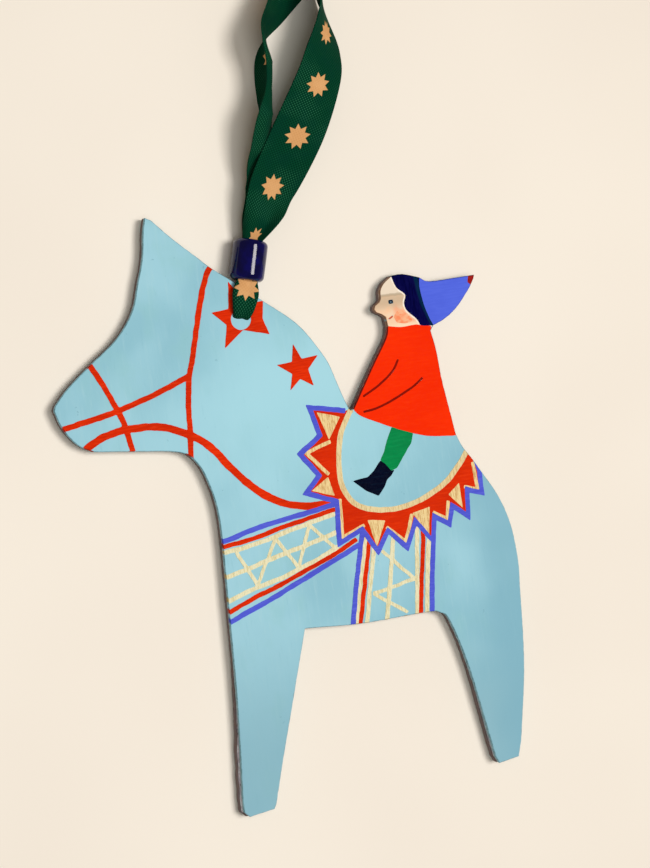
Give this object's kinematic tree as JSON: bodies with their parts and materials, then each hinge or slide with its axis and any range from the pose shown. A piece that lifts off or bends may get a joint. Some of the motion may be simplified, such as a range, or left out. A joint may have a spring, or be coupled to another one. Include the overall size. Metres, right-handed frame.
{
  "type": "dala horse",
  "caption": "Flat hanging ornament of a rider on a horse, cut from painted board, with a ribbon loop through a hole and a bead sliding on the loop.",
  "frame": {"origin": "middle of the whole ornament's footprint, on the surface it lies on", "axes": "+Z out of the painted face, +Y from the hooves to the ears and on to the ribbon loop, -X towards the muzzle"},
  "size_m": [0.0988, 0.179, 0.0122],
  "materials": {
    "back_card": "brushed light-blue coat over raw grey card, rough cut edge",
    "glue": "dried glue",
    "painted_card": "hand-brushed light-blue acrylic, matt",
    "ribbon": "woven dark-green ribbon with copper printed stars",
    "bead": "high gloss navy",
    "red_paint": "hand-brushed acrylic",
    "gold_paint": "pale gold brush lines",
    "periwinkle_paint": "hand-brushed acrylic",
    "coat_red_paint": "hand-brushed acrylic",
    "dark_red_paint": "thin brush lines",
    "hat_blue_paint": "hand-brushed acrylic",
    "navy_paint": "hand-brushed acrylic",
    "skin_paint": "hand-brushed acrylic",
    "cheek_paint": "soft blush",
    "feature_paint": "fine brush lines",
    "green_paint": "hand-brushed acrylic",
    "boot_paint": "hand-brushed acrylic"
  },
  "bodies": {
    "board": {"back_ply": "back_card", "glue_film": "glue", "front_ply": "painted_card", "bridle_paint": "red_paint", "neck_stars_paint": "red_paint", "saddle_gold_line": "gold_paint", "saddle_red_paint": "red_paint", "saddle_gold_paint": "gold_paint", "saddle_blue_outline": "periwinkle_paint", "breast_band_blue": "periwinkle_paint", "breast_band_red": "red_paint", "breast_band_gold": "gold_paint", "girth_blue": "periwinkle_paint", "girth_red": "red_paint", "girth_gold": "gold_paint", "coat_paint": "coat_red_paint", "coat_folds_paint": "dark_red_paint", "hat_paint": "hat_blue_paint", "hat_tip_paint": "dark_red_paint", "hair_paint": "navy_paint", "face_paint": "skin_paint", "cheek_paint": "cheek_paint", "eye_and_mouth_paint": "feature_paint", "trouser_paint": "green_paint", "boot_paint": "boot_paint"},
    "ribbon": {"ribbon": "ribbon"},
    "bead": {"bead": "bead"}
  },
  "joints": [
    {"name": "ribbon_swing", "type": "hinge", "parent": "board", "child": "ribbon", "pos_m": [-0.0065, 0.01646, 0.002], "axis": [0, 0, 1], "range_deg": [-30, 0]},
    {"name": "bead_slide", "type": "slide", "parent": "ribbon", "child": "bead", "axis": [0.2756, 0.9613, 0], "range_m": [0, 0.008], "deforming": ["ribbon"]}
  ]
}
